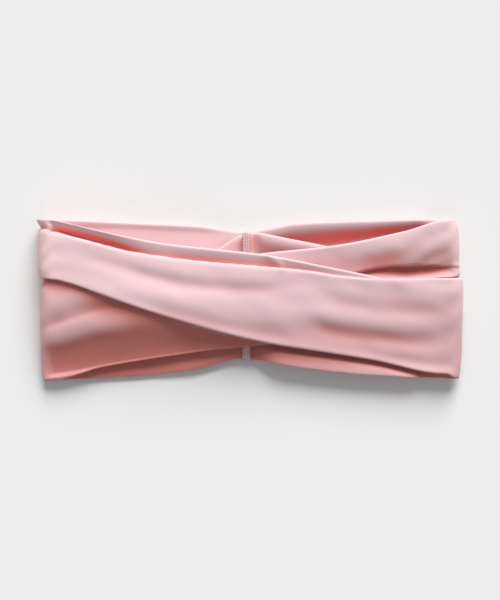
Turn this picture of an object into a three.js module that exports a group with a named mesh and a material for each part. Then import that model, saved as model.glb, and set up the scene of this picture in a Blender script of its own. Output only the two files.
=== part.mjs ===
// A stretch headband of two flattened cloth tubes that cross at the front and are sewn
// together in one seam at the centre back. It lies flat: X runs along the band, Y across
// it, Z up. The origin is under the middle of the band, on the surface it lies on.
// All sizes are in millimetres.

import * as THREE from 'three';

// ---- Driving sizes ----

const LENGTH = 235; // from end fold to end fold
const END_HEIGHT = 90; // across the band at its end folds
const SPLIT_Y = 12.2; // where the two tubes lie side by side in an end fold
const SEAM_TOP = 38; // back seam, upper end
const SEAM_BOTTOM = -33.5; // back seam, lower end
const SEAM_X = -2; // place of the back seam along the band

const TUBE_THICKNESS = 2; // a flattened tube: two plies and the air between them
const LAYER_GAP = 0.35; // between cloth that lies on cloth
const HEAD_GAP = 8; // between the back layers and the front layers
const ALLOWANCE_THICKNESS = 0.7; // a tube end pressed flat in the back seam
const ALLOWANCE_RISE = 5; // the sewn edges stand this far above the upper back layer
const TAPER_LENGTH = 5; // a tube thins over this length before the back seam
const ALLOWANCE_BEND = 0.8; // radius at which a tube end turns up into the seam

const THREAD_RADIUS = 0.2;
const THREAD_CLEARANCE = 0.3; // between a thread and the cloth or thread beside it
const GROOVE_DEPTH = 0.9; // valley of a tube's long seam
const GROOVE_FLOOR = 1.2; // width of the valley at its bottom
const GROOVE_SLOPE = 0.3; // each side of the valley runs out over this width
const STITCH_PITCH = 3;
const NEEDLE_LOW = 1.4; // height of the inner needle row above the upper back layer
const NEEDLE_ROW_SPACING = 2; // between the two needle rows
const LOOPER_OVERHANG = 0.5; // loopers turn this far above the sewn edges

// The run of a tube's edges between the seam and the end folds. Each pair is a place
// along a layer and the share of the way from the edge's first end to its second.
// Along the front: from -1 at the high fold to 1 at the low fold.
const FRONT_UPPER_EDGE = [[-0.45, 0.42], [0, 0.56], [0.55, 0.91]];
const FRONT_LOWER_EDGE = [[-0.8, 0.155], [-0.45, 0.38], [0, 0.6], [0.55, 0.765]];
// Along the back: from 0 at the seam to 1 at the fold.
const BACK_HIGH_UPPER_EDGE = [[0.25, 0.57], [0.6, 0.86]];
const BACK_HIGH_LOWER_EDGE = [[0.3, 0.21], [0.6, 0.51]];
const BACK_LOW_UPPER_EDGE = [[0.3, 0.23], [0.6, 0.54]];
const BACK_LOW_LOWER_EDGE = [[0.25, 0.435], [0.6, 0.825]];

// ---- Sizes that follow ----

const HALF_THICKNESS = TUBE_THICKNESS / 2;
const LAYER_PITCH = TUBE_THICKNESS + LAYER_GAP;
const BACK_LOWER_Z = HALF_THICKNESS;
const BACK_UPPER_Z = BACK_LOWER_Z + LAYER_PITCH;
const FRONT_LOWER_Z = BACK_UPPER_Z + TUBE_THICKNESS + HEAD_GAP;
const FRONT_UPPER_Z = FRONT_LOWER_Z + LAYER_PITCH;
const HALF_ALLOWANCE = ALLOWANCE_THICKNESS / 2;
const ALLOWANCE_PITCH = ALLOWANCE_THICKNESS + LAYER_GAP;
const RIDGE_TOP_Z = BACK_UPPER_Z + ALLOWANCE_RISE;
const RIDGE_HALF_WIDTH = 1.5 * ALLOWANCE_PITCH + HALF_ALLOWANCE;
const HIGH_FOLD = [END_HEIGHT / 2, SPLIT_Y + LAYER_GAP / 2]; // upper and lower edge
const LOW_FOLD = [SPLIT_Y - LAYER_GAP / 2, -END_HEIGHT / 2];
const SEAM_EDGES = [SEAM_TOP, SEAM_BOTTOM];

const FRONT_STEPS = 40;
const BACK_STEPS = 16;
const FOLD_STEPS = 10;
const BEND_STEPS = 4;
const EDGE_SAMPLES = 200;

// ---- Edge curves ----

// A smooth edge from one end to the other, through the given shares of the way across.
function edgeCurve([startPlace, startY], shares, [endPlace, endY]) {
  const between = shares.map(([place, share]) => [place, THREE.MathUtils.lerp(startY, endY, share)]);
  const points = [[startPlace, startY], ...between, [endPlace, endY]];
  const spline = new THREE.SplineCurve(points.map(([x, y]) => new THREE.Vector2(x, y)));
  const samples = spline.getPoints(EDGE_SAMPLES);
  return (place) => {
    let i = 1;
    while (i < samples.length - 1 && samples[i].x < place) i += 1;
    const a = samples[i - 1];
    const b = samples[i];
    return a.y + (b.y - a.y) * THREE.MathUtils.clamp((place - a.x) / (b.x - a.x), 0, 1);
  };
}

const frontUpper = edgeCurve([-1, HIGH_FOLD[0]], FRONT_UPPER_EDGE, [1, LOW_FOLD[0]]);
const frontLower = edgeCurve([-1, HIGH_FOLD[1]], FRONT_LOWER_EDGE, [1, LOW_FOLD[1]]);
const backHighUpper = edgeCurve([0, SEAM_TOP], BACK_HIGH_UPPER_EDGE, [1, HIGH_FOLD[0]]);
const backHighLower = edgeCurve([0, SEAM_BOTTOM], BACK_HIGH_LOWER_EDGE, [1, HIGH_FOLD[1]]);
const backLowUpper = edgeCurve([0, SEAM_TOP], BACK_LOW_UPPER_EDGE, [1, LOW_FOLD[0]]);
const backLowLower = edgeCurve([0, SEAM_BOTTOM], BACK_LOW_LOWER_EDGE, [1, LOW_FOLD[1]]);

// ---- The way round the loop ----

// A station is one cross-section of a tube: its place, the way out of the loop, its two
// edges and half its thickness.
function station(x, z, outX, outZ, edges, half) {
  return { x, z, outX, outZ, upper: edges[0], lower: edges[1], half };
}

// One end of a tube in the back seam: down the standing allowance, round the bend and
// along the taper. side is -1 to the left of the seam and 1 to the right.
function seamEnd(side, edgeX, level) {
  const list = [station(edgeX, RIDGE_TOP_Z, -side, 0, SEAM_EDGES, HALF_ALLOWANCE)];
  const centreX = edgeX + side * ALLOWANCE_BEND;
  for (let i = 0; i <= BEND_STEPS; i += 1) {
    const angle = (i / BEND_STEPS) * (Math.PI / 2);
    const x = centreX - side * ALLOWANCE_BEND * Math.cos(angle);
    const z = level + ALLOWANCE_BEND * (1 - Math.sin(angle));
    list.push(station(x, z, -side * Math.cos(angle), -Math.sin(angle), SEAM_EDGES, HALF_ALLOWANCE));
  }
  return list;
}

// A back layer from the end of the taper to the start of the fold.
function backLayer(fromX, toX, level, upperEdge, lowerEdge) {
  const side = Math.sign(toX - fromX);
  const list = [];
  for (let i = 1; i < BACK_STEPS; i += 1) {
    const t = i / BACK_STEPS;
    const x = THREE.MathUtils.lerp(fromX, toX, t);
    const thickening = THREE.MathUtils.clamp((side * (x - fromX)) / TAPER_LENGTH, 0, 1);
    const half = THREE.MathUtils.lerp(HALF_ALLOWANCE, HALF_THICKNESS, thickening);
    list.push(station(x, level, 0, -1, [upperEdge(t), lowerEdge(t)], half));
  }
  return list;
}

// A half turn round an end fold, from the back layer up to the front layer.
function endFold(side, centreX, backZ, frontZ, edges) {
  const centreZ = (backZ + frontZ) / 2;
  const radius = (frontZ - backZ) / 2;
  const list = [];
  for (let i = 0; i <= FOLD_STEPS; i += 1) {
    const angle = (i / FOLD_STEPS) * Math.PI - Math.PI / 2;
    const outX = side * Math.cos(angle);
    const outZ = Math.sin(angle);
    list.push(station(centreX + radius * outX, centreZ + radius * outZ, outX, outZ, edges, HALF_THICKNESS));
  }
  return list;
}

// The stations of one tube, from its high end in the back seam, round the left end fold,
// along the front to the right end fold and back to the seam on the low side.
function tubeStations(seamX, frontZ, foldX) {
  const highRadius = (frontZ - BACK_LOWER_Z) / 2;
  const lowRadius = (frontZ - BACK_UPPER_Z) / 2;
  const highX = -foldX + HALF_THICKNESS + highRadius;
  const lowX = foldX - HALF_THICKNESS - lowRadius;
  const highEndX = seamX - 0.5 * ALLOWANCE_PITCH;
  const lowEndX = seamX + 1.5 * ALLOWANCE_PITCH;

  const front = [];
  for (let i = 1; i < FRONT_STEPS; i += 1) {
    const t = (i / FRONT_STEPS) * 2 - 1;
    const x = THREE.MathUtils.mapLinear(t, -1, 1, highX, lowX);
    front.push(station(x, frontZ, 0, 1, [frontUpper(t), frontLower(t)], HALF_THICKNESS));
  }
  const highBackStart = highEndX - ALLOWANCE_BEND;
  const lowBackStart = lowEndX + ALLOWANCE_BEND;
  return [
    ...seamEnd(-1, highEndX, BACK_LOWER_Z),
    ...backLayer(highBackStart, highX, BACK_LOWER_Z, backHighUpper, backHighLower),
    ...endFold(-1, highX, BACK_LOWER_Z, frontZ, HIGH_FOLD),
    ...front,
    ...endFold(1, lowX, BACK_UPPER_Z, frontZ, LOW_FOLD).reverse(),
    ...backLayer(lowBackStart, lowX, BACK_UPPER_Z, backLowUpper, backLowLower).reverse(),
    ...seamEnd(1, lowEndX, BACK_UPPER_Z).reverse(),
  ];
}

// ---- Solids ----

// A closed solid through rings of points, one ring per station, with flat ends.
// outline is one ring as pairs, across the band and out of the loop.
function loft(stations, outlineOf, mirrored) {
  const rings = stations.map((s) => outlineOf(s));
  const count = rings[0].length;
  const positions = [];
  stations.forEach((s, k) => {
    for (const [y, out] of rings[k]) {
      const x = s.x + s.outX * out;
      positions.push(mirrored ? -x : x, y, s.z + s.outZ * out);
    }
  });
  const triangles = [];
  for (let k = 0; k < stations.length - 1; k += 1) {
    for (let j = 0; j < count; j += 1) {
      const a = k * count + j;
      const b = k * count + ((j + 1) % count);
      triangles.push([a, b, a + count], [b, b + count, a + count]);
    }
  }
  const last = (stations.length - 1) * count;
  for (const [start, turn] of [[0, -1], [last, 1]]) {
    const ring = rings[start / count].map(([y, out]) => new THREE.Vector2(y, out));
    const ringTurn = turn * Math.sign(THREE.ShapeUtils.area(ring));
    for (const [a, b, c] of THREE.ShapeUtils.triangulateShape(ring, [])) {
      const same = Math.sign(THREE.ShapeUtils.area([ring[a], ring[b], ring[c]])) === ringTurn;
      triangles.push(same ? [start + a, start + b, start + c] : [start + a, start + c, start + b]);
    }
  }
  const geometry = new THREE.BufferGeometry();
  geometry.setAttribute('position', new THREE.Float32BufferAttribute(positions, 3));
  geometry.setIndex(triangles.flatMap(([a, b, c]) => (mirrored ? [a, b, c] : [a, c, b])));
  geometry.computeVertexNormals();
  return geometry;
}

// The outline of a flattened tube: bevelled edges, and the valley of its long seam along
// the middle of the face that turns to the head.
function tubeOutline(s) {
  const middle = (s.upper + s.lower) / 2;
  const floor = -s.half + GROOVE_DEPTH * (s.half / HALF_THICKNESS);
  const floorHalf = GROOVE_FLOOR / 2;
  const mouthHalf = floorHalf + GROOVE_SLOPE;
  return [
    [s.upper - s.half, s.half],
    [s.upper, 0],
    [s.upper - s.half, -s.half],
    [middle + mouthHalf, -s.half],
    [middle + floorHalf, floor],
    [middle - floorHalf, floor],
    [middle - mouthHalf, -s.half],
    [s.lower + s.half, -s.half],
    [s.lower, 0],
    [s.lower + s.half, s.half],
  ];
}

// The outline of the thread that closes a tube, lying in the valley of the long seam.
function seamThreadOutline(s) {
  const middle = (s.upper + s.lower) / 2;
  const out = -HALF_THICKNESS + GROOVE_DEPTH - THREAD_CLEARANCE - THREAD_RADIUS;
  return [
    [middle + THREAD_RADIUS, out],
    [middle, out - THREAD_RADIUS],
    [middle - THREAD_RADIUS, out],
    [middle, out + THREAD_RADIUS],
  ];
}

// A thread bent through a list of points in a plane of constant x: a square section.
function threadSolid(points) {
  const side = new THREE.Vector3(THREAD_RADIUS, 0, 0);
  const positions = [];
  points.forEach((p, i) => {
    const before = points[Math.max(i - 1, 0)];
    const after = points[Math.min(i + 1, points.length - 1)];
    const along = new THREE.Vector3().subVectors(after, before).normalize();
    const up = new THREE.Vector3().crossVectors(along, side);
    for (const step of [side, up, side.clone().negate(), up.clone().negate()]) {
      positions.push(...p.clone().add(step).toArray());
    }
  });
  const index = [];
  for (let k = 0; k < points.length - 1; k += 1) {
    for (let j = 0; j < 4; j += 1) {
      const a = k * 4 + j;
      const b = k * 4 + ((j + 1) % 4);
      index.push(a, b, a + 4, b, b + 4, a + 4);
    }
  }
  const last = (points.length - 1) * 4;
  index.push(0, 3, 2, 0, 2, 1, last, last + 1, last + 2, last, last + 2, last + 3);
  const geometry = new THREE.BufferGeometry();
  geometry.setAttribute('position', new THREE.Float32BufferAttribute(positions, 3));
  geometry.setIndex(index);
  geometry.computeVertexNormals();
  return geometry;
}

// ---- Threads of the back seam ----

// Points that swing between two heights, one swing per stitch, along the back seam.
function zigzag(x, lowZ, highZ, pitch) {
  const run = SEAM_TOP - SEAM_BOTTOM - 2 * THREAD_RADIUS - pitch;
  const turns = Math.floor(run / (pitch / 2));
  const points = [];
  for (let i = 0; i <= turns; i += 1) {
    const y = SEAM_BOTTOM + pitch / 2 + THREAD_RADIUS + (run * i) / turns;
    points.push(new THREE.Vector3(x, y, i % 2 ? highZ : lowZ));
  }
  return points;
}

// A needle thread shows as one straight row of stitches over the looper thread.
function needleThread(row) {
  const face = SEAM_X - RIDGE_HALF_WIDTH;
  const looperTop = THREAD_CLEARANCE + 2 * THREAD_RADIUS;
  const x = face - looperTop - THREAD_CLEARANCE - THREAD_RADIUS;
  const z = BACK_UPPER_Z + NEEDLE_LOW + row * NEEDLE_ROW_SPACING;
  return threadSolid(zigzag(x, z, z, STITCH_PITCH));
}

// A looper thread zigzags over one face of the sewn edges.
function looperThread(side) {
  const x = SEAM_X + side * (RIDGE_HALF_WIDTH + THREAD_CLEARANCE + THREAD_RADIUS);
  return threadSolid(zigzag(x, BACK_UPPER_Z + NEEDLE_LOW, RIDGE_TOP_Z + LOOPER_OVERHANG, STITCH_PITCH));
}

// ---- Assembly ----

function clothMaterial(colour) {
  return new THREE.MeshStandardMaterial({ color: colour, roughness: 0.85, metalness: 0 });
}

function threadMaterial() {
  return new THREE.MeshStandardMaterial({ color: 0xe2b4b6, roughness: 0.6, metalness: 0 });
}

const headband = new THREE.Group();

function add(name, geometry, material) {
  const mesh = new THREE.Mesh(geometry, material);
  mesh.name = name;
  headband.add(mesh);
}

// The over panel lies outside the under panel in the left end fold. The under panel runs
// the other way across the front, so it is the mirror image on its own levels.
const overStations = tubeStations(SEAM_X, FRONT_UPPER_Z, LENGTH / 2);
const underStations = tubeStations(-SEAM_X, FRONT_LOWER_Z, LENGTH / 2 - LAYER_PITCH);
const isFullThickness = (s) => s.half === HALF_THICKNESS;

add('over_panel', loft(overStations, tubeOutline, false), clothMaterial(0xe8c4c6));
add('under_panel', loft(underStations, tubeOutline, true), clothMaterial(0xe2b8ba));
add('over_panel_seam_thread', loft(overStations.filter(isFullThickness), seamThreadOutline, false),
  threadMaterial());
add('under_panel_seam_thread', loft(underStations.filter(isFullThickness), seamThreadOutline, true),
  threadMaterial());
add('back_seam_needle_thread_inner', needleThread(0), threadMaterial());
add('back_seam_needle_thread_outer', needleThread(1), threadMaterial());
add('back_seam_looper_thread_left', looperThread(-1), threadMaterial());
add('back_seam_looper_thread_right', looperThread(1), threadMaterial());

export default headband;
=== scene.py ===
"""A crossed stretch headband of two flattened knit tubes, lying flat on a pale floor."""

import math

import bpy
import numpy as np
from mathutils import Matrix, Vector


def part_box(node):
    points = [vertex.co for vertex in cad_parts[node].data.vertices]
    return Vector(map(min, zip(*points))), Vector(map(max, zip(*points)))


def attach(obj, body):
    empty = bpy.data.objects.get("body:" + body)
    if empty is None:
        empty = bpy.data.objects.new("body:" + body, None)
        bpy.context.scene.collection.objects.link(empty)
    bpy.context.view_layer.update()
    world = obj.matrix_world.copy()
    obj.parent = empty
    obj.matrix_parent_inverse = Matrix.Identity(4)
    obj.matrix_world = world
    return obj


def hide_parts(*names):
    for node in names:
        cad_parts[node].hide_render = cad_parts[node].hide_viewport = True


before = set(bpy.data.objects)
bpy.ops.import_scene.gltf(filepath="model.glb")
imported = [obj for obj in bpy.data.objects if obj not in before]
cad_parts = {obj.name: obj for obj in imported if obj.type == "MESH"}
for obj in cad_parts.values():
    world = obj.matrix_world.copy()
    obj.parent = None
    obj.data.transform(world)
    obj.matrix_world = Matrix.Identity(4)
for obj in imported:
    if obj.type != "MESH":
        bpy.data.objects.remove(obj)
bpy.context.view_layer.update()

MM = 0.001

# ---- Places taken from the frame, in millimetres ----


def box_mm(node):
    """The lowest and highest corner of a CAD node, in millimetres."""
    low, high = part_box(node)
    return np.array(low) / MM, np.array(high) / MM


HALF_LENGTH, HALF_WIDTH, BAND_TOP = box_mm("over_panel")[1]
UNDER_HALF_LENGTH, _, UNDER_TOP = box_mm("under_panel")[1]
LOOPER_LEFT = box_mm("back_seam_looper_thread_left")
LOOPER_RIGHT = box_mm("back_seam_looper_thread_right")
NEEDLE_INNER_Z = box_mm("back_seam_needle_thread_inner")[0][2]
NEEDLE_OUTER_Z = box_mm("back_seam_needle_thread_outer")[0][2]
SEAM_X = (LOOPER_LEFT[0][0] + LOOPER_RIGHT[1][0]) / 2
RIDGE_TOP = LOOPER_LEFT[1][2]

# ---- Sizes of the cloth, in millimetres ----

PLY = 0.46  # thickness of the knit
HALF_TUBE = 0.36  # from the middle of a flattened tube to the middle of a ply
HALF_THICK = HALF_TUBE + PLY / 2  # half the thickness of a flattened tube
AIR = 0.15  # the air in a tube lifts each ply by this much more in its middle
PRESSED = 0.12  # each ply is pressed in by this much at the back seam
BACK_LOWER = 1.1  # height of the middle of the lower tube at the back
BACK_UPPER = 3.3  # and of the upper one
ALLOWANCE_STEP = 0.96  # between tube ends standing side by side in the back seam
ALLOWANCE_BEND = 0.9  # radius at which a tube end turns up into the seam
SEAM_TOP = 38.2  # ends of the back seam, across the band
SEAM_BOTTOM = -33.4
SPLIT = 12.2  # the tubes lie side by side here in an end fold

PLEAT_STEP = 1.4  # a pleated tube lies this far below its own upper layer
PLEAT_DEPTH = 9  # how far a pleat reaches in under the main face
PLEAT_VALLEY_AT = 1.0  # the valley of a pleat lies this far past the main face's edge
PLEAT_SHOULDER_AT = 0.9  # share of the way from the main face's edge to the pleat's rim
PLEAT_SHOULDER_DROP = 0.2  # share of the valley's depth that the shoulder has

FLAT_WIDTH = 152  # one panel's cut width: both plies and two allowances
FLAT_LENGTH = 492  # its cut length: once round the loop on its slant, and two allowances

# ---- Fineness of the grids ----

STATIONS = 420  # sections along a tube
ACROSS = 58  # points across one ply
FINE = 8  # a section is first worked out at this many times as many points
FOLD_BLUR = 4  # softness of the folds, in those fine points
CROWDING = 0.25  # how much the points crowd towards the rims, from 0 to 1
RIM_POWER = 14  # a higher power gives a sharper rim
ARC_POINTS = 60  # points on each bend of the loop
TINY = 1e-6  # keeps a run of no length from dividing by nothing


# ---- Curves and small helpers ----


def smooth_through(knots, at):
    """A curve through the knots that never overshoots them: cubic pieces whose slope at a
    knot is the harmonic mean of the slopes beside it, and zero where those disagree."""
    x, y = np.array(knots, float).T
    step = np.diff(x)
    rise = np.diff(y) / step
    slope = np.zeros_like(x)
    product = rise[:-1] * rise[1:]
    total = np.where(product > 0, rise[:-1] + rise[1:], 1)
    slope[1:-1] = np.where(product > 0, 2 * product / total, 0)
    slope[0], slope[-1] = rise[0], rise[-1]
    i = np.clip(np.searchsorted(x, at) - 1, 0, len(x) - 2)
    t = np.clip((at - x[i]) / step[i], 0, 1)
    a = (1 + 2 * t) * (1 - t) ** 2
    b = t * (1 - t) ** 2
    c = t * t * (3 - 2 * t)
    d = t * t * (t - 1)
    return a * y[i] + b * step[i] * slope[i] + c * y[i + 1] + d * step[i] * slope[i + 1]


def ramp(value, start, end):
    """0 before start, 1 after end and a smooth S between them."""
    t = np.clip((value - start) / (end - start), 0, 1)
    return t * t * (3 - 2 * t)


def between(value, rise_start, rise_end, fall_start, fall_end):
    """1 from rise_end to fall_start, easing to 0 on either side of them."""
    return ramp(value, rise_start, rise_end) * ramp(-value, -fall_end, -fall_start)


def bump(value, centre, width):
    """A bell of height 1 round the centre."""
    return np.exp(-(((value - centre) / width) ** 2))


def blurred(rows, sigma):
    """Each row smoothed by a bell of that many samples, its ends held."""
    reach = int(3 * sigma) + 1
    bell = np.exp(-0.5 * (np.arange(-reach, reach + 1) / sigma) ** 2)
    bell /= bell.sum()
    padded = np.pad(rows, ((0, 0), (reach, reach)), mode="edge")
    return sum(k * padded[:, i : i + rows.shape[1]] for i, k in enumerate(bell))


# ---- The way round the loop ----


def loop_path(half_length, front_z, seam_x):
    """The middle line of a tube in the XZ plane, from its high end in the back seam, round
    the end fold at -X, along the front, round the fold at +X and back to the seam: straight
    runs joined by half circles, sampled evenly. Returns x, z, the way out of the loop as
    its x and z parts, and the place: 0 to 1 back high, 1 to 2 high fold, 2 to 3 front, 3 to
    4 low fold, 4 to 5 back low, with the standing allowances before 0 and after 5."""
    high_radius = (front_z - BACK_LOWER) / 2
    low_radius = (front_z - BACK_UPPER) / 2
    high_x = -half_length + HALF_THICK + high_radius
    low_x = half_length - HALF_THICK - low_radius
    # Four tube ends stand in the seam: a panel's own two are the second and the fourth.
    high_end = seam_x - 0.5 * ALLOWANCE_STEP
    low_end = seam_x + 1.5 * ALLOWANCE_STEP
    turn = np.linspace(0, 1, ARC_POINTS)
    bend = ALLOWANCE_BEND

    def arc(cx, cz, radius, start, end):
        angle = np.radians(start + (end - start) * turn)
        return cx + radius * np.cos(angle), cz + radius * np.sin(angle)

    pieces = [
        (np.array([high_end]), np.array([RIDGE_TOP]), [-0.04]),
        (*arc(high_end - bend, BACK_LOWER + bend, bend, 0, -90), -0.01 * (1 - turn)),
        (*arc(high_x, (front_z + BACK_LOWER) / 2, high_radius, -90, -270), 1 + turn),
        (*arc(low_x, (front_z + BACK_UPPER) / 2, low_radius, 90, -90), 3 + turn),
        (*arc(low_end + bend, BACK_UPPER + bend, bend, 270, 180), 5 + 0.01 * turn),
        (np.array([low_end]), np.array([RIDGE_TOP]), [5.04]),
    ]
    x = np.concatenate([p[0] for p in pieces])
    z = np.concatenate([p[1] for p in pieces])
    place = np.concatenate([p[2] for p in pieces])
    length = np.concatenate([[0], np.cumsum(np.hypot(np.diff(x), np.diff(z)))])
    even = np.linspace(0, length[-1], STATIONS)
    x, z, place = (np.interp(even, length, v) for v in (x, z, place))
    dx, dz = np.gradient(x), np.gradient(z)
    size = np.hypot(dx, dz)
    return x, z, -dz / size, dx / size, place


def section(across_stops, out_stops, widths):
    """The middle line of a pleated tube at each station: straight from stop to stop, each
    a place across the band and a height out of the loop, sampled evenly by length. A
    point is the first stop plus each run's change times the share of that run passed."""
    across_steps = np.diff(across_stops, axis=1)
    out_steps = np.diff(out_stops, axis=1)
    steps = np.hypot(across_steps, out_steps) + TINY
    length = np.concatenate([np.zeros((len(steps), 1)), np.cumsum(steps, axis=1)], axis=1)
    at = length[:, -1:] * widths
    passed = np.clip((at[:, :, None] - length[:, None, :-1]) / steps[:, None, :], 0, 1)
    across = across_stops[:, :1] + (passed * across_steps[:, None, :]).sum(axis=2)
    outward = out_stops[:, :1] + (passed * out_steps[:, None, :]).sum(axis=2)
    return across, outward


def tube_grid(path, edges, relief, mirrored):
    """The skin of a flattened tube: the middle line of each section with one ply above and
    one below it, joined by round rims. Returns a grid of points, stations by around."""
    x, z, out_x, out_z, place = path
    fine = np.linspace(0, 1, FINE * ACROSS)
    across_stops, out_stops = edges(place)
    across, outward = section(across_stops, out_stops, fine)

    # The points crowd towards both edges, where the rims are round.
    even = np.linspace(0, 1, ACROSS)
    crowded = 0.5 - 0.5 * np.cos(math.pi * even)
    widths = CROWDING * crowded + (1 - CROWDING) * even
    index = np.clip(widths * (len(fine) - 1), 0, len(fine) - 1)
    low = np.floor(index).astype(int).clip(0, len(fine) - 2)
    part = index - low

    def picked(rows):
        soft = blurred(rows, FOLD_BLUR)
        return soft[:, low] * (1 - part) + soft[:, low + 1] * part

    mid_y = picked(across)
    mid_out = picked(outward) + relief(x[:, None], mid_y, place[:, None], widths[None, :])
    step_y, step_out = np.gradient(mid_y, axis=1), np.gradient(mid_out, axis=1)
    size = np.maximum(np.hypot(step_y, step_out), TINY)
    normal_y, normal_out = -step_out / size, step_y / size
    rim = np.sqrt(np.clip(1 - np.abs(2 * widths - 1) ** RIM_POWER, 0, 1))
    at_seam = bump(place, 0, 0.04) + bump(place, 5, 0.04)
    loft = air(place)[:, None] * np.sin(math.pi * widths) ** 0.7
    half = (HALF_TUBE - PRESSED * at_seam[:, None] + loft) * rim

    def ply(sign):
        y = mid_y + sign * half * normal_y
        out = mid_out + sign * half * normal_out
        return y, out

    outer_y, outer_out = ply(1)
    inner_y, inner_out = ply(-1)
    # The two plies share their rim points.
    y = np.concatenate([outer_y, inner_y[:, -2:0:-1]], axis=1)
    out = np.concatenate([outer_out, inner_out[:, -2:0:-1]], axis=1)
    away_x = x[:, None] + out_x[:, None] * out
    away_z = z[:, None] + out_z[:, None] * out
    points = np.stack([away_x, y, away_z], axis=-1)
    if mirrored:
        points[..., 0] *= -1
    return settled(points, place)


def air(place):
    """How much further out each ply lies for the air in the tube: nothing at the seam."""
    return AIR * between(place, 0.02, 0.18, 4.82, 4.98)


# ---- Creases ----

CREASE_FADE = 0.22  # share of a crease's length that it takes to fade in, and out


def crease(x, y, run, depth, above, below):
    """One soft crease along the band, as a height: a bell round the line through run, with
    its own reach above and below the line, fading out at both ends. run is in shares of
    half the length and half the width; depth is negative for a valley."""
    knots = [(u * HALF_LENGTH, v * HALF_WIDTH) for u, v in run]
    off = y - smooth_through(knots, x)
    reach = np.where(off > 0, above, below)
    start, end = knots[0][0], knots[-1][0]
    fade = CREASE_FADE * (end - start)
    ends = ramp(x, start, start + fade) * (1 - ramp(x, end - fade, end))
    return depth * ends * bump(off, 0, reach)


def creases(x, y, rows):
    """The sum of several creases."""
    return sum(crease(x, y, *row) for row in rows)


# Gathers at the back seam: height, reach along the loop, and how many to the given count
GATHERS = [(0.35, 0.07, 1), (0.3, 0.3, 0.45)]


def seam_puckers(place, width, count, phase):
    """Small gathers that fan out of the back seam and die away along the cloth: for each
    kind, its height times a bell round the seam times a sine across the width."""
    total = 0
    for k, (height, reach, share) in enumerate(GATHERS):
        near = bump(place, 0, reach) + bump(place, 5, reach)
        wave = np.sin(2 * math.pi * share * count * width + (k + 1) * phase)
        total = total + height * near * wave
    return total * between(place, 0, 0.03, 4.97, 5)


# Small waves: wavelength in millimetres, direction in degrees, height in millimetres
WAVES = [(34, 50, 0.12), (23, 74, 0.07), (17, 92, 0.04), (12.5, 40, 0.025), (8.5, 64, 0.015)]
# What bends them: swing of the phase, shares of x and y, reach in millimetres, and shift
# from one wave to the next
BENDS = [(1.3, 0.7, 1, 14, 2.1), (1.1, 1, -1.3, 23, 1)]


def uneven(x, y):
    """Small uneven waves in the cloth: a sum of sines along several directions, the phase
    of each bent by slower sines, so that no two crests run alike."""
    total = 0
    for k, (wavelength, degrees, height) in enumerate(WAVES):
        angle = math.radians(degrees)
        phase = 2 * math.pi * (x * math.cos(angle) + y * math.sin(angle)) / wavelength
        for swing, of_x, of_y, reach, shift in BENDS:
            phase = phase + swing * np.sin((of_x * x + of_y * y) / reach + shift * k)
        total = total + height * np.sin(phase)
    return total


# Each crease: the line it follows, its height, and its reach above and below that line
OVER_CREASES = [
    # along the upper edge, from the left end to the middle, and the swell below it
    ([(-0.9, 0.5), (-0.7, 0.46), (-0.47, 0.3), (-0.23, 0.17), (0.02, 0.13), (0.3, 0.2)],
     -1.0, 4.2, 4.5),
    ([(-0.8, 0.26), (-0.47, 0.1), (-0.23, -0.13), (0.1, -0.32), (0.4, -0.4)], 0.5, 6, 6),
    # across the right half, slanting down
    ([(0.1, 0.26), (0.28, 0.17), (0.47, -0.03), (0.7, -0.1), (0.95, -0.18)], -0.8, 6, 5),
    ([(0.2, -0.02), (0.42, -0.26), (0.6, -0.33), (0.85, -0.42)], 0.4, 5, 5),
    ([(0.25, -0.3), (0.45, -0.42), (0.7, -0.5), (0.97, -0.56)], -0.5, 5.5, 5),
    ([(0.55, -0.62), (0.75, -0.66), (1.0, -0.74)], 0.4, 5, 4),
    ([(0.62, 0.3), (0.8, 0.14), (1.02, 0.1)], 0.5, 4, 4),
    # where the other panel's edge pushes up from below
    ([(0.05, 0.62), (0.1, 0.52), (0.17, 0.37)], 0.9, 2.6, 2.6),
    # a slight roll along the lower edge
    ([(-0.9, 0.17), (-0.7, 0.045), (-0.545, -0.1), (-0.39, -0.23), (-0.235, -0.35),
      (-0.08, -0.46), (0.105, -0.565), (0.265, -0.635), (0.58, -0.765), (0.887, -0.925),
      (1.2, -1.0)],
     1.3, 4, 3),
]
BACK_CREASES = [
    # below the upper rim of the high run
    ([(-0.95, 0.9), (-0.6, 0.87), (-0.3, 0.83), (-0.04, 0.79)], -1.1, 3.0, 9.0),
]
UNDER_CREASES = [
    # low side, left: a crease out of the end fold, and the hollow just above the rim
    ([(-1.04, -0.4), (-0.82, -0.2), (-0.66, -0.06), (-0.46, 0.06)], -0.9, 6, 3),
    ([(-1.04, -0.6), (-0.8, -0.42), (-0.5, -0.28), (-0.3, -0.2)], 0.7, 6, 6),
    ([(-1.2, -0.98), (-0.85, -0.885), (-0.7, -0.805), (-0.39, -0.675), (-0.1, -0.565)],
     -5.2, 13, 1.0),
    # high side, right: the face falls away towards its lower edge
    ([(0.1, 0.26), (0.45, 0.34), (0.75, 0.36), (1.15, 0.34)], -3.4, 13, 5),
]

RIPPLE = 0.16  # height of the ripples that cross a panel's front run


def front_run(place):
    """1 on the front run, fading out round both end folds."""
    return between(place, 1.6, 1.95, 3.05, 3.4)


def ripples(place, width, across, along, phase):
    """Low ripples over the front run: a sine of width and place, across and along waves to
    a whole width and a whole run."""
    return RIPPLE * np.sin(2 * math.pi * (across * width + along * (place - 2.5)) + phase)


# ---- The over panel ----


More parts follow.
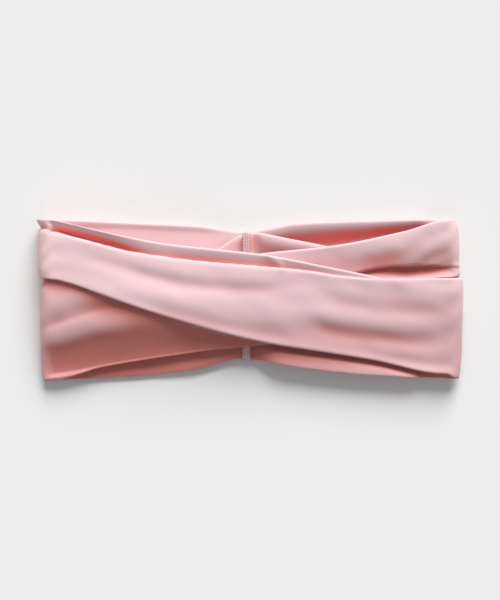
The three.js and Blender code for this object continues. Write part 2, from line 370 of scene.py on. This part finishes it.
def pleat(main, rim, depth, here, valley, rim_drop):
    """A Z pleat along one edge of the main face, as stops from that edge outwards: under
    the edge, in by depth, back out below itself, a valley just past the edge, a shoulder
    and the rim. here fades the whole pleat; returns places across and heights out."""
    outward = np.where(rim > main, 1, -1)
    inner = main - outward * depth
    past = main + outward * np.minimum(PLEAT_VALLEY_AT, 0.5 * np.abs(rim - main))
    shoulder = main + PLEAT_SHOULDER_AT * (rim - main)
    across = [main, inner, inner, past, shoulder, rim]
    step = PLEAT_STEP * here
    drop = rim_drop * here
    down = [step, step, 2 * step, 2 * step + valley, drop + PLEAT_SHOULDER_DROP * valley, drop]
    return across, [-level for level in down]


OVER_RIM_DROP = 0.7  # the pleat's rim lies this far below the main face
OVER_SWELL = 0.6  # the front run swells by this over the other panel
HIGH_RUN_TILT = 1.8  # the back high run rises by this towards its upper rim
LOW_RIM_UP = 4.2  # the back low run's upper rim is turned up by this
UNDER_EDGE_UP = 1.6  # its lower rim rises by this under the front's lower edge,
BEYOND_EDGE_UP = 4.2  # and by this more beyond it
FRONT_START = 0.932  # the front run starts this share of half the length left of the middle,
FRONT_SPAN = 1.873  # and is this share of half the length long

# The over panel's edges, as knots: a place, and millimetres across the band
OVER_UPPER_LAST = [(3, 12), (4, 12.4), (4.5, 27), (4.8, 34), (5, SEAM_TOP - 0.6),
                   (5.1, SEAM_TOP - 0.6)]
OVER_UPPER_RIM = [
    (-0.1, SEAM_TOP), (0, SEAM_TOP), (0.25, 41.6), (0.6, 43.2), (1, 44.8), (2, 44.2),
    (2.04, 42.3), (2.123, 38), (2.289, 31), (2.454, 27), (2.544, 24.6), (2.674, 19),
    (2.779, 14.3), (2.84, 11.7), *OVER_UPPER_LAST,
]
OVER_MAIN_UPPER = [
    (-0.1, SEAM_TOP), (0, SEAM_TOP), (0.4, 41), (1, 39), (1.6, 38.3), (2, 36.6),
    (2.061, 33.8), (2.206, 25.9), (2.371, 20.9), (2.491, 18.6), (2.639, 15.8),
    (2.724, 12.9), (2.84, 11.2), *OVER_UPPER_LAST,
]
OVER_LOWER = [
    (-0.1, SEAM_BOTTOM), (0, SEAM_BOTTOM), (0.3, -24), (0.6, -10), (1, SPLIT), (1.5, 12.1),
    (2, 11.3), (2.039, 9.6), (2.123, 3.3), (2.206, -3.3), (2.289, -9.2), (2.371, -14.6),
    (2.454, -19.6), (2.554, -24.4), (2.639, -27.4), (2.806, -33.2), (2.971, -40.7),
    (3.3, -43.6), (4, -43.8), (4.4, -42), (4.75, -38), (5, SEAM_BOTTOM - 0.4),
    (5.1, SEAM_BOTTOM - 0.4),
]


def over_edges(place):
    """Where the over panel's rims and pleat lie across the band, place by place."""
    main_upper = smooth_through(OVER_MAIN_UPPER, place)
    upper_rim = np.maximum(smooth_through(OVER_UPPER_RIM, place), main_upper)
    lower = smooth_through(OVER_LOWER, place)
    depth = PLEAT_DEPTH * between(place, 2.0, 2.22, 2.3, 2.86)
    here = between(place, 1.9, 2.06, 2.6, 2.86)
    # The pleat's valley: 1 mm round the fold, 5 mm where the front starts, then 0.3 mm.
    valley = 1.0 + 4.0 * ramp(place, 1.9, 2.06) - 4.7 * ramp(place, 2.08, 2.3)
    valley = valley * between(place, 0.9, 1.3, 2.3, 2.7)
    across, out = pleat(main_upper, upper_rim, depth, here, valley, OVER_RIM_DROP)
    zero = np.zeros_like(place)
    return np.stack([lower, main_upper, *across], axis=1), np.stack([zero, zero, *out], axis=1)


def over_relief(x, y, place, width):
    """How far the over panel lies out of the loop beyond its plain shape. Its front run has
    soft folds, ripples and a slight swell over the crossing. Its back runs have gathers at
    the seam, and rims that are turned up, into the loop."""
    soft = creases(x, y, OVER_CREASES) + ripples(place, width, 3.7, -2.1, 1.9)
    soft = soft + OVER_SWELL * bump(x, 10, 50) + uneven(x, y)
    hollow = creases(x, y, BACK_CREASES) * (1 - ramp(place, 0.9, 1))
    tilted = HIGH_RUN_TILT * ramp(width, 0.5, 1.0) * between(place, 0.06, 0.4, 0.8, 1.0)
    turned_up = LOW_RIM_UP * ramp(width, 0.8, 0.985) * between(place, 4.08, 4.4, 4.94, 4.995)
    beyond = smooth_through(OVER_LOWER, 2 + (x / HALF_LENGTH + FRONT_START) / FRONT_SPAN) - y
    bottom_up = UNDER_EDGE_UP * ramp(beyond, -9, -1) + BEYOND_EDGE_UP * ramp(beyond, -1, 5)
    bottom_up = bottom_up * between(place, 4.03, 4.2, 4.86, 5.0)
    into_loop = seam_puckers(place, width, 5, 0.4) + hollow + tilted + turned_up + bottom_up
    return front_run(place) * soft - into_loop


# ---- The under panel (mirrored: its high end is at +X) ----

UNDER_RIM_DROP = 2.6  # the pleat's rim lies this far below the main face
UNDER_VALLEY = 0.8  # depth of the pleat's valley round the end fold
HAIR = 1e-3  # keeps the rim on the lower side of the main face
CROSSING_DIP = -2.6  # the panel dips by this where the over panel crosses it
STANDING_RIM = 6.2  # the back high run's upper rim stands up by this
LOW_RUN_SUNK = 1.2  # the back low run lies this much lower between fold and seam

# The under panel's edges, as knots: a place, and millimetres across the band
UNDER_UPPER = [
    (-0.1, SEAM_TOP), (0, SEAM_TOP), (0.25, 42.8), (0.6, 44.2), (1, 44.9), (1.6, 44.6),
    (2, 43.9), (2.106, 37.9), (2.288, 29.9), (2.461, 25.9), (2.55, 23), (2.7, 17),
    (2.85, 13), (3, 11.8), (4, 11.4), (4.5, 20), (4.85, 27.5), (4.95, 34),
    (5, SEAM_TOP - 2), (5.1, SEAM_TOP - 2),
]
UNDER_LOWER_LAST = [
    (2.441, -24.4), (2.541, -26.6), (2.707, -31.4), (2.873, -37.4), (3, -44.4),
    (3.5, -45.2), (4, -44.8), (4.4, -43), (4.75, -39), (5, SEAM_BOTTOM), (5.1, SEAM_BOTTOM),
]
UNDER_MAIN_LOWER = [
    (-0.1, SEAM_BOTTOM), (0, SEAM_BOTTOM), (0.3, -24), (0.6, -6), (1, 19.2), (2, 19),
    (2.128, 18.9), (2.188, 17.2), (2.25, 13), (2.33, 1), *UNDER_LOWER_LAST,
]
UNDER_LOWER_RIM = [
    (-0.1, SEAM_BOTTOM), (0, SEAM_BOTTOM), (0.3, -26), (0.6, -14), (1, SPLIT + 0.3),
    (2, SPLIT), (2.1, 8), (2.2, -2), (2.33, -14), *UNDER_LOWER_LAST,
]


def under_edges(place):
    """Where the under panel's rims and pleat lie across the band, place by place."""
    upper = smooth_through(UNDER_UPPER, place)
    main_lower = smooth_through(UNDER_MAIN_LOWER, place)
    lower_rim = np.minimum(smooth_through(UNDER_LOWER_RIM, place), main_lower) - HAIR
    depth = PLEAT_DEPTH * between(place, 2.0, 2.16, 2.2, 2.4)
    here = between(place, 1.98, 2.12, 2.3, 2.42)
    valley = UNDER_VALLEY * between(place, 0.9, 1.3, 2.0, 2.2)
    across, out = pleat(main_lower, lower_rim, depth, here, valley, UNDER_RIM_DROP)
    zero = np.zeros_like(place)
    across_stops = np.stack([*across[::-1], main_lower, upper], axis=1)
    return across_stops, np.stack([*out[::-1], zero, zero], axis=1)


def under_relief(x, y, place, width):
    """How far the under panel lies out of the loop beyond its plain shape. Its front run
    dips under the over panel and hollows along its low rim. The upper rim of its back high
    run stands up, into the loop, and its back low run has sunk. x is the panel's own, so
    the world's is -x."""
    soft = creases(-x, y, UNDER_CREASES) + ripples(place, width, 3.1, 1.7, 0.7)
    soft = soft + CROSSING_DIP * bump(-x, 12, 48) + uneven(-x, y)
    standing = STANDING_RIM * ramp(width, 0.78, 1.0) * between(place, 0.005, 0.1, 0.86, 1.0)
    sunk = LOW_RUN_SUNK * between(place, 4.05, 4.3, 4.5, 4.75)
    into_loop = seam_puckers(place, width, 4, 1.3) + standing - sunk
    return front_run(place) * soft - into_loop


# ---- How the loop lies ----

GAP_FLOOR = 4.2  # top of the back layers, where nothing lifts them
GAP_ROOF = UNDER_TOP - 2 * HALF_THICK - 0.4  # just below the under panel's front run
RIDGE_FOOT = BACK_UPPER + 0.8  # the standing seam bends above this height
RIDGE_LOSS = 0.8  # share of its height above the foot that it loses at its bottom end


def ridge_lowered(points):
    """The standing seam lies down towards its bottom end: what is within 3.2 mm of its
    middle loses RIDGE_LOSS of its height above the foot at y = -34, and nothing from
    y = -16 up."""
    x, y, z = points[..., 0], points[..., 1], points[..., 2]
    here = (1 - ramp(np.abs(x - SEAM_X), 3.2, 4.5)) * (1 - ramp(y, -34, -16))
    points[..., 2] = z - RIDGE_LOSS * here * np.maximum(z - RIDGE_FOOT, 0)
    return points


# Height of the space inside the loop, at either end: a share of half the width, from the
# lower edge to the upper one, and millimetres
LEAN_LEFT = [(-1, 1.0), (-0.85, 2.2), (-0.7, 4), (-0.5, 6.5), (-0.2, 9.9), (0.1, 11.5),
             (0.5, 11.5), (1, 10.6)]
LEAN_RIGHT = [(-1, 1.3), (-0.8, 2.0), (-0.5, 4.0), (-0.1, 7.4), (0.3, 9.3), (0.7, 10.2), (1, 10)]
# How far each end draws in: a share of half the width, and millimetres
LEFT_END = [(-1.02, 0.6), (-0.9, -0.5), (-0.4, -1.2), (0.1, -0.8), (0.2, 0.6), (0.27, 0.9),
            (0.4, 0.4), (0.8, 0.3), (0.88, 1.1), (0.94, -0.2), (1.01, -1.4)]
RIGHT_END = [(-1.02, 1.4), (-0.88, 0.6), (-0.7, 0), (-0.3, -0.3), (0.1, -0.6), (0.26, -0.5),
             (0.32, -1.8), (0.4, -1.6), (0.46, -0.6), (0.6, -0.9), (0.85, -0.5), (1.01, 1.4)]


def loop_gap(x, y):
    """Height of the space inside the loop: the band leans, high along its upper edge and
    nearly shut along its lower one, more so towards the end at -X."""
    side = y / HALF_WIDTH
    left = smooth_through(LEAN_LEFT, side)
    right = smooth_through(LEAN_RIGHT, side)
    return left + (right - left) * ramp(x, -60, 40)


def settled(points, place):
    """Moves a tube's points straight down or up with the space inside the loop: what lies
    under the space stays, what lies over it moves with its roof. Both ends draw in a
    little, by amounts that change across the band, in the last third of the length."""
    x, y, z = points[..., 0], points[..., 1], points[..., 2]
    gap = loop_gap(x, y)
    share = np.clip((z - GAP_FLOOR) / (GAP_ROOF - GAP_FLOOR), 0, 1)
    lifted = np.where(z > GAP_ROOF, GAP_FLOOR + gap + (z - GAP_ROOF), GAP_FLOOR + share * gap)
    side = y / HALF_WIDTH
    pull = np.where(x < 0, smooth_through(LEFT_END, side), -smooth_through(RIGHT_END, side))
    front = between(place, 0.9, 1.0, 4.0, 4.1)[:, None]
    points[..., 2] = np.where(z < GAP_FLOOR, z, z + (lifted - z) * front)
    points[..., 0] = x + pull * ramp(np.abs(x) / HALF_LENGTH, 0.7, 1)
    seam = (place < 0.05) | (place > 4.95)
    points[seam] = ridge_lowered(points[seam])
    return points


# ---- Meshes ----


def mesh_of_grid(name, points, flip, length, girth, capped=False):
    """A tube mesh from a grid of points, stations by around, closed round the section, with
    a UV map in metres: along the panel and around it. A capped tube has a face on each
    end."""
    rows, around = points.shape[:2]
    index = np.arange(rows * around).reshape(rows, around)
    a = index[:-1]
    b = np.roll(index, -1, axis=1)[:-1]
    c = np.roll(index, -1, axis=1)[1:]
    d = index[1:]
    quads = np.stack([a, d, c, b] if flip else [a, b, c, d], axis=-1).reshape(-1, 4)
    faces = quads.tolist()
    if capped:
        faces += [index[0, ::-1].tolist(), index[-1].tolist()]
    mesh = bpy.data.meshes.new(name)
    mesh.from_pydata((points.reshape(-1, 3) * MM).tolist(), [], faces)
    u = np.broadcast_to(np.linspace(0, length * MM, rows)[:, None], (rows, around + 1))
    v = np.broadcast_to(np.linspace(0, girth * MM, around + 1)[None, :], (rows, around + 1))
    corner = [(u[:-1, :-1], v[:-1, :-1]), (u[:-1, 1:], v[:-1, 1:]),
              (u[1:, 1:], v[1:, 1:]), (u[1:, :-1], v[1:, :-1])]
    if flip:
        corner = [corner[0], corner[3], corner[2], corner[1]]
    uv = np.stack([np.stack(pair, axis=-1) for pair in corner], axis=2).reshape(-1, 2)
    if capped:
        angle = np.linspace(0, 2 * math.pi, 2 * around, endpoint=False)
        disc = np.stack([np.cos(angle), np.sin(angle)], axis=1) * girth * MM / (2 * math.pi)
        uv = np.concatenate([uv, disc + girth * MM])
    layer = mesh.uv_layers.new(name="cloth")
    layer.data.foreach_set("uv", uv.reshape(-1).astype(np.float32))
    mesh.polygons.foreach_set("use_smooth", np.ones(len(faces), bool))
    mesh.update()
    piece = bpy.data.objects.new(name, mesh)
    bpy.context.scene.collection.objects.link(piece)
    return piece


def add_thickness(piece):
    """Gives a cloth skin the thickness of the knit, half to each side."""
    wall = piece.modifiers.new("ply", "SOLIDIFY")
    wall.thickness = PLY * MM
    wall.offset = 0


# ---- Threads ----

THREAD = 0.2  # radius of the sewing thread
THREAD_TIP = 0.02  # its radius at both ends
STITCH = 3.0  # pitch of the stitches
SIDES = 8  # of a thread's round section
END_ROWS = 4  # stations at each end of a tube that its long seam stops short of
SEAM_STEP = 0.4  # between two points of a long seam
SIDEWAYS = (0.31, 0.17, 0.93)  # a direction that no thread runs along


def swept(line, radius):
    """A round bar along a line of points: at each point a ring of the given radius in the
    plane across the line, and a much smaller one at both ends. Returns stations by
    around."""
    along = np.gradient(line, axis=0)
    along /= np.linalg.norm(along, axis=1, keepdims=True)
    side = np.cross(along, SIDEWAYS)
    side /= np.linalg.norm(side, axis=1, keepdims=True)
    other = np.cross(along, side)
    angle = np.linspace(0, 2 * math.pi, SIDES, endpoint=False)[:, None]
    size = np.full(len(line), radius)
    size[[0, -1]] = THREAD_TIP
    ring = np.cos(angle) * side[:, None, :] + np.sin(angle) * other[:, None, :]
    return line[:, None, :] + size[:, None, None] * ring


def tube_seam_line(grid):
    """The long seam that closes a tube: it runs along the middle of the inner ply, just
    proud of it, and dips into the cloth once every stitch."""
    sewn = grid[END_ROWS:-END_ROWS]
    middle = ACROSS + ACROSS // 2 - 1  # of the inner ply
    inner, before, after = sewn[:, middle], sewn[:, middle - 4], sewn[:, middle + 4]
    along = np.gradient(inner, axis=0)
    out = np.cross(along, after - before)
    out /= np.linalg.norm(out, axis=1, keepdims=True)
    outer = sewn[:, ACROSS // 2]
    out *= np.sign(((inner - outer) * out).sum(axis=1, keepdims=True))
    length = np.concatenate([[0], np.cumsum(np.linalg.norm(np.diff(inner, axis=0), axis=1))])
    even = np.linspace(0, length[-1], int(length[-1] / SEAM_STEP))
    seat, lift = (
        np.stack([np.interp(even, length, rows[:, k]) for k in range(3)], axis=1)
        for rows in (inner, out)
    )
    proud = PLY / 2 + THREAD * (0.35 + 0.6 * np.sin(2 * math.pi * even / STITCH))
    return seat + lift * proud[:, None]


RIDGE_HALF = 2 * ALLOWANCE_STEP + 0.1  # half the thickness of the standing seam
# The rows of stitches end a little short of the cloth.
RIDGE_LOW = SEAM_BOTTOM + 0.8
RIDGE_HIGH = SEAM_TOP - 0.8
LOOPER_PROUD = 0.15  # the looper threads lie this far outside the cloth


def needle_line(height):
    """One row of stitches through the standing seam: the thread lies along one face for
    half a stitch, goes through, and lies along the other face for the next half."""
    y = np.arange(RIDGE_LOW, RIDGE_HIGH, 0.15)
    swing = np.clip(2.2 * np.sin(2 * math.pi * y / STITCH), -1, 1)
    line = np.stack([SEAM_X + RIDGE_HALF * swing, y, np.full_like(y, height)], axis=1)
    return ridge_lowered(line)


def looper_line(side, phase):
    """One looper thread: from its needle row it climbs one face of the standing seam,
    turns over the edge to the middle and comes back, once every stitch, leaning along the
    seam as it goes."""
    pitch = STITCH / 2
    turn = np.arange(0, (RIDGE_HIGH - RIDGE_LOW) / pitch, 0.04)
    swing = 2 * math.pi * (turn + phase)
    reach = 0.5 - 0.5 * np.cos(swing)
    face = RIDGE_TOP - NEEDLE_INNER_Z
    travel = reach * (face + RIDGE_HALF)
    up = np.minimum(travel, face + LOOPER_PROUD)
    over = np.clip(travel - face, 0, RIDGE_HALF - 0.1)
    x = SEAM_X + side * (RIDGE_HALF + LOOPER_PROUD - over)
    y = RIDGE_LOW + pitch * (turn + 0.25 * np.sin(swing))
    z = NEEDLE_INNER_Z + up
    line = ridge_lowered(np.stack([x, y, z], axis=1))
    return blurred(line.T, 1.5).T


# ---- Materials ----

PINK = (0.82, 0.57, 0.588)  # of the cloth, before ribs, painted shade, painted backlight and patches
THREAD_PINK = (0.82, 0.56, 0.56)
BETWEEN_RIBS = (0.91, 0.87, 0.88)  # what the pink is multiplied by between the ribs
ON_RIBS = (1.06, 1.08, 1.08)  # and on them
RIB_ANGLE = -42  # of the knit's ribs to the panel's length, in degrees
CROSS_ANGLE = 40  # of the fainter set that crosses them
CROSS_SHARE = 0.36  # how strong that set is beside the ribs
PAINTED_SHADE_TINT = (0.72, 0.345, 0.29)  # painted shade: what the colour of cloth sheltered from the window's light is multiplied by, darker and pinker
PAINTED_BACKLIGHT_TINT = (1.65, 1.2, 1.15)  # and again where the window's light would shine through thin cloth: a painted glow of backlight
PATCH_TINT = (0.8, 0.74, 0.76)  # colour of the faint patches in cloth and thread


def multiplied(colour, tint):
    """A colour times a tint, channel by channel."""
    return tuple(c * k for c, k in zip(colour, tint))


def mottle_group():
    """Shared by cloth and thread: slow light and dark patches laid over a colour. Inputs
    Colour, Scale and Amount; the colour goes towards its product with PATCH_TINT by
    Amount times the noise."""
    group = bpy.data.node_groups.new("soft_mottle", "ShaderNodeTree")
    face = group.interface
    face.new_socket("Colour", in_out="INPUT", socket_type="NodeSocketColor")
    face.new_socket("Scale", in_out="INPUT", socket_type="NodeSocketFloat")
    face.new_socket("Amount", in_out="INPUT", socket_type="NodeSocketFloat")
    face.new_socket("Colour", in_out="OUTPUT", socket_type="NodeSocketColor")
    nodes, links = group.nodes, group.links
    given = nodes.new("NodeGroupInput")
    made = nodes.new("NodeGroupOutput")
    place = nodes.new("ShaderNodeTexCoord")
    noise = nodes.new("ShaderNodeTexNoise")
    noise.inputs["Detail"].default_value = 3
    level = nodes.new("ShaderNodeMath")
    level.operation = "MULTIPLY"
    shade = nodes.new("ShaderNodeMix")
    shade.data_type = "RGBA"
    shade.blend_type = "MULTIPLY"
    shade.inputs["B"].default_value = (*PATCH_TINT, 1)
    links.new(place.outputs["Object"], noise.inputs["Vector"])
    links.new(given.outputs["Scale"], noise.inputs["Scale"])
    links.new(noise.outputs["Fac"], level.inputs[0])
    links.new(given.outputs["Amount"], level.inputs[1])
    links.new(level.outputs["Value"], shade.inputs["Factor"])
    links.new(given.outputs["Colour"], shade.inputs["A"])
    links.new(shade.outputs["Result"], made.inputs["Colour"])
    return group


def mottled(material, mottle, colour_out, scale, amount):
    """Places the mottle group in a material after a colour, into its Base Color."""
    nodes, links = material.node_tree.nodes, material.node_tree.links
    node = nodes.new("ShaderNodeGroup")
    node.node_tree = mottle
    node.inputs["Scale"].default_value = scale
    node.inputs["Amount"].default_value = amount
    links.new(colour_out, node.inputs["Colour"])
    links.new(node.outputs["Colour"], nodes["Principled BSDF"].inputs["Base Color"])


def bands(material, degrees, scale, distortion):
    """Straight bands across the piece's own UV map, turned by some degrees. Their pitch is
    0.314 m over scale."""
    nodes, links = material.node_tree.nodes, material.node_tree.links
    uv = nodes.new("ShaderNodeUVMap")
    uv.uv_map = "cloth"
    turn = nodes.new("ShaderNodeMapping")
    turn.inputs["Rotation"].default_value = (0, 0, math.radians(degrees))
    wave = nodes.new("ShaderNodeTexWave")
    wave.inputs["Scale"].default_value = scale
    wave.inputs["Distortion"].default_value = distortion
    wave.inputs["Detail"].default_value = 1
    links.new(uv.outputs["UV"], turn.inputs["Vector"])
    links.new(turn.outputs["Vector"], wave.inputs["Vector"])
    return wave.outputs["Fac"]


def two_tone(material, factor, low, high):
    """A colour that goes from low to high with the factor."""
    nodes, links = material.node_tree.nodes, material.node_tree.links
    tone = nodes.new("ShaderNodeMix")
    tone.data_type = "RGBA"
    tone.inputs["A"].default_value = (*low, 1)
    tone.inputs["B"].default_value = (*high, 1)
    links.new(factor, tone.inputs["Factor"])
    return tone.outputs["Result"]


def raised(material, height, strength, distance):
    """Bump from a height into the shader's normal."""
    nodes, links = material.node_tree.nodes, material.node_tree.links
    relief = nodes.new("ShaderNodeBump")
    relief.inputs["Strength"].default_value = strength
    relief.inputs["Distance"].default_value = distance
    links.new(height, relief.inputs["Height"])
    links.new(relief.outputs["Normal"], nodes["Principled BSDF"].inputs["Normal"])


def knit_material(name, colour, mottle):
    """Fine stretch knit: diagonal ribs crossed by a fainter set, so the face reads as small loops;
    darker and pinker between the ribs. Shade and light are painted into its colour too: painted
    shade, darker and pinker, where cloth on the window's side stands above it, and a painted glow
    of backlight where that cloth is thin."""
    material = bpy.data.materials.new(name)
    material.use_nodes = True
    nodes, links = material.node_tree.nodes, material.node_tree.links
    shader = nodes["Principled BSDF"]
    shader.inputs["Roughness"].default_value = 0.75
    shader.inputs["Sheen Weight"].default_value = 0.22
    shader.inputs["Sheen Roughness"].default_value = 0.4
    shader.inputs["Specular IOR Level"].default_value = 0.2
    loops = nodes.new("ShaderNodeMix")
    loops.inputs["Factor"].default_value = CROSS_SHARE
    links.new(bands(material, RIB_ANGLE, 255, 0.5), loops.inputs["A"])
    links.new(bands(material, CROSS_ANGLE, 225, 0.5), loops.inputs["B"])
    low, high = multiplied(colour, BETWEEN_RIBS), multiplied(colour, ON_RIBS)
    tone = two_tone(material, loops.outputs["Result"], low, high)
    # Painted shade, then a painted glow of backlight: each multiplies the colour by its tint, as
    # far as the point's stored amount.
    for measure, tint in (("painted_shade", PAINTED_SHADE_TINT), ("painted_backlight", PAINTED_BACKLIGHT_TINT)):
        amount = nodes.new("ShaderNodeAttribute")
        amount.attribute_name = measure
        tinted = nodes.new("ShaderNodeMix")
        tinted.data_type = "RGBA"
        tinted.blend_type = "MULTIPLY"
        tinted.inputs["B"].default_value = (*tint, 1)
        links.new(amount.outputs["Fac"], tinted.inputs["Factor"])
        links.new(tone, tinted.inputs["A"])
        tone = tinted.outputs["Result"]
    mottled(material, mottle, tone, 60, 0.16)
    raised(material, loops.outputs["Result"], 0.45, 0.0002)
    return material


def thread_material(name, colour, mottle):
    """Sewing thread: two strands that twist round each other, with a soft sheen."""
    material = bpy.data.materials.new(name)
    material.use_nodes = True
    shader = material.node_tree.nodes["Principled BSDF"]
    shader.inputs["Roughness"].default_value = 0.5
    shader.inputs["Sheen Weight"].default_value = 0.3
    twist = bands(material, 38, 700, 0)
    tone = two_tone(material, twist, [0.85 * c for c in colour], colour)
    mottled(material, mottle, tone, 300, 0.2)
    raised(material, twist, 0.4, 0.0001)
    return material


# ---- Painted shade and painted backlight: how sheltered the cloth lies from the window ----

CELL = 1.0  # side of a cell of the height map, in millimetres
MAP_MARGIN = 45  # of the map round the band
LOOKS = range(2, 33)  # how many cells further on a rise is looked for
OPEN_LOOKS = range(6, 23)  # and how many further on open sky is
NO_RISE = 0.4  # a rise smaller than this gives no painted shade
SLIGHT, STEEP = 0.05, 0.43  # slopes at which cloth gets no painted shade yet, and gets all of it
COVERED = (2.5, 6)  # cloth this much higher up covers a point, which then gets no painted shade: not at all, and wholly


def map_cells(points):
    """The cells of the height map that the points fall in."""
    i = ((points[..., 0] + HALF_LENGTH + MAP_MARGIN) / CELL).astype(int)
    j = ((points[..., 1] + HALF_WIDTH + MAP_MARGIN) / CELL).astype(int)
    return i, j


def painted_light_amounts(tubes):
    """How much painted shade and painted backlight each point gets, from the height map. The
    painted shade is the steepest slope, rise over distance, from the point to the cloth that stands
    further to +Y, where the window is: 0 up to SLIGHT and 1 from STEEP on. It is nothing where
    other cloth covers the point. The painted backlight is for cloth sheltered by only a thin
    stretch of cloth, which the window's light would shine through: the square of the painted shade,
    fading out where few of the cells from 6 to 22 mm further on are open, that is, where nothing
    stands 1 mm above the point."""
    roof = np.zeros((int(2 * (HALF_LENGTH + MAP_MARGIN) / CELL) + 1,
                     int(2 * (HALF_WIDTH + MAP_MARGIN) / CELL) + LOOKS.stop + 2))
    for points in tubes:
        between_rows = (points[1:] + points[:-1]) / 2
        between_columns = (points[:, 1:] + points[:, :-1]) / 2
        for some in (points, between_rows, between_columns):
            np.maximum.at(roof, map_cells(some), some[..., 2])
    roof = blurred(blurred(roof, 1.0).T, 1.0).T
    found = []
    for points in tubes:
        i, j = map_cells(points)
        z = points[..., 2]
        slope = np.zeros(i.shape)
        for k in LOOKS:
            slope = np.maximum(slope, (roof[i, j + k] - z - NO_RISE) / (k * CELL))
        uncovered = 1 - ramp(roof[i, j] - z, *COVERED)
        painted_shade = uncovered * np.clip((slope - SLIGHT) / (STEEP - SLIGHT), 0, 1)
        # Smoothed a little round the section, and more along the tube.
        painted_shade = blurred(blurred(painted_shade, 0.8).T, 2.5).T
        open_beyond = sum(roof[i, j + k] < z + 1 for k in OPEN_LOOKS) / len(OPEN_LOOKS)
        found.append((painted_shade, painted_shade**2 * ramp(open_beyond, 0.2, 0.8)))
    return found


def store_painted_light(piece, name, values):
    """Keeps an amount of painted shade or painted backlight for each point on the mesh, for the
    cloth's colour.
    """
    layer = piece.data.attributes.new(name, "FLOAT", "POINT")
    layer.data.foreach_set("value", values.reshape(-1).astype(np.float32))


# ---- Build ----

over_path = loop_path(HALF_LENGTH, BAND_TOP - HALF_THICK, SEAM_X)
under_path = loop_path(UNDER_HALF_LENGTH, UNDER_TOP - HALF_THICK, -SEAM_X)
over_grid = tube_grid(over_path, over_edges, over_relief, False)
under_grid = tube_grid(under_path, under_edges, under_relief, True)
# How much painted shade and painted backlight each point of cloth gets.
over_painted_light, under_painted_light = painted_light_amounts([over_grid, under_grid])
over = mesh_of_grid("over_panel_cloth", over_grid, True, FLAT_LENGTH, FLAT_WIDTH)
under = mesh_of_grid("under_panel_cloth", under_grid, False, FLAT_LENGTH, FLAT_WIDTH)
mottle = mottle_group()
knit = knit_material("pink_knit_cloth", PINK, mottle)
for piece, node, path, painted_light in (
    (over, "over_panel", over_path, over_painted_light),
    (under, "under_panel", under_path, under_painted_light),
):
    # The outer ply of the back looks at the table: it gets no painted shade and no painted
    # backlight.
    facing_table = np.zeros(painted_light[0].shape, bool)
    facing_table[(path[4] < 1) | (path[4] > 4), :ACROSS] = True
    for name, values in zip(("painted_shade", "painted_backlight"), painted_light):
        store_painted_light(piece, name, np.where(facing_table, 0, values))
    add_thickness(piece)
    piece.data.materials.append(knit)
    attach(piece, "root")
    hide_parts(node)

sewing = thread_material("pink_sewing_thread", THREAD_PINK, mottle)
THREAD_LINES = {
    "over_panel_seam_thread": tube_seam_line(over_grid),
    "under_panel_seam_thread": tube_seam_line(under_grid),
    "back_seam_needle_thread_inner": needle_line(NEEDLE_INNER_Z + THREAD),
    "back_seam_needle_thread_outer": needle_line(NEEDLE_OUTER_Z + THREAD),
    "back_seam_looper_thread_left": looper_line(-1, 0.0),
    "back_seam_looper_thread_right": looper_line(1, 0.5),
}
for node, line in THREAD_LINES.items():
    run = np.linalg.norm(np.diff(line, axis=0), axis=1).sum()
    girth = 2 * math.pi * THREAD
    piece = mesh_of_grid(node + "_stitches", swept(line, THREAD), False, run, girth, capped=True)
    piece.data.materials.append(sewing)
    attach(piece, "root")
    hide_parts(node)

# ---- Floor, light and camera ----

FLOOR_HALF = 3.0  # half the floor's side, in metres
FLOOR_GREY = 0.8
SKY_STRENGTH = 0.365
CAMERA_HEIGHT = 0.933  # in metres, straight above the middle


def add_floor():
    """A wide pale sheet under the band, which is no part of it."""
    material = bpy.data.materials.new("floor_paper")
    material.use_nodes = True
    shader = material.node_tree.nodes["Principled BSDF"]
    shader.inputs["Base Color"].default_value = (FLOOR_GREY, FLOOR_GREY, FLOOR_GREY, 1)
    shader.inputs["Roughness"].default_value = 0.9
    mesh = bpy.data.meshes.new("floor")
    corners = [(x * FLOOR_HALF, y * FLOOR_HALF, 0) for x, y in ((-1, -1), (1, -1), (1, 1), (-1, 1))]
    mesh.from_pydata(corners, [], [(0, 1, 2, 3)])
    mesh.materials.append(material)
    floor = bpy.data.objects.new("floor", mesh)
    bpy.context.scene.collection.objects.link(floor)


def add_sun(name, azimuth, elevation, spread, strength):
    """A wide soft sun; azimuth and elevation are in degrees, from +X and from the floor."""
    lamp = bpy.data.lights.new(name, "SUN")
    lamp.angle = math.radians(spread)
    lamp.energy = strength
    light = bpy.data.objects.new(name, lamp)
    around, up = math.radians(azimuth), math.radians(elevation)
    level = math.cos(up)
    towards = Vector((math.cos(around) * level, math.sin(around) * level, math.sin(up)))
    light.location = towards
    light.rotation_euler = (-towards).to_track_quat("-Z", "Y").to_euler()
    bpy.context.scene.collection.objects.link(light)


def add_camera():
    """A long lens straight above the band, with +Y up in the view."""
    lens = bpy.data.cameras.new("camera")
    lens.lens = 100
    lens.sensor_width = 36
    camera = bpy.data.objects.new("camera", lens)
    camera.location = (0, 0, CAMERA_HEIGHT)
    bpy.context.scene.collection.objects.link(camera)
    bpy.context.scene.camera = camera


add_floor()
add_sun("window", 80, 31, 36, 4.2)
world = bpy.data.worlds.new("studio")
world.use_nodes = True
world.node_tree.nodes["Background"].inputs["Color"].default_value = (1, 1, 1, 1)
world.node_tree.nodes["Background"].inputs["Strength"].default_value = SKY_STRENGTH
bpy.context.scene.world = world
bpy.context.scene.view_settings.view_transform = "Standard"
add_camera()
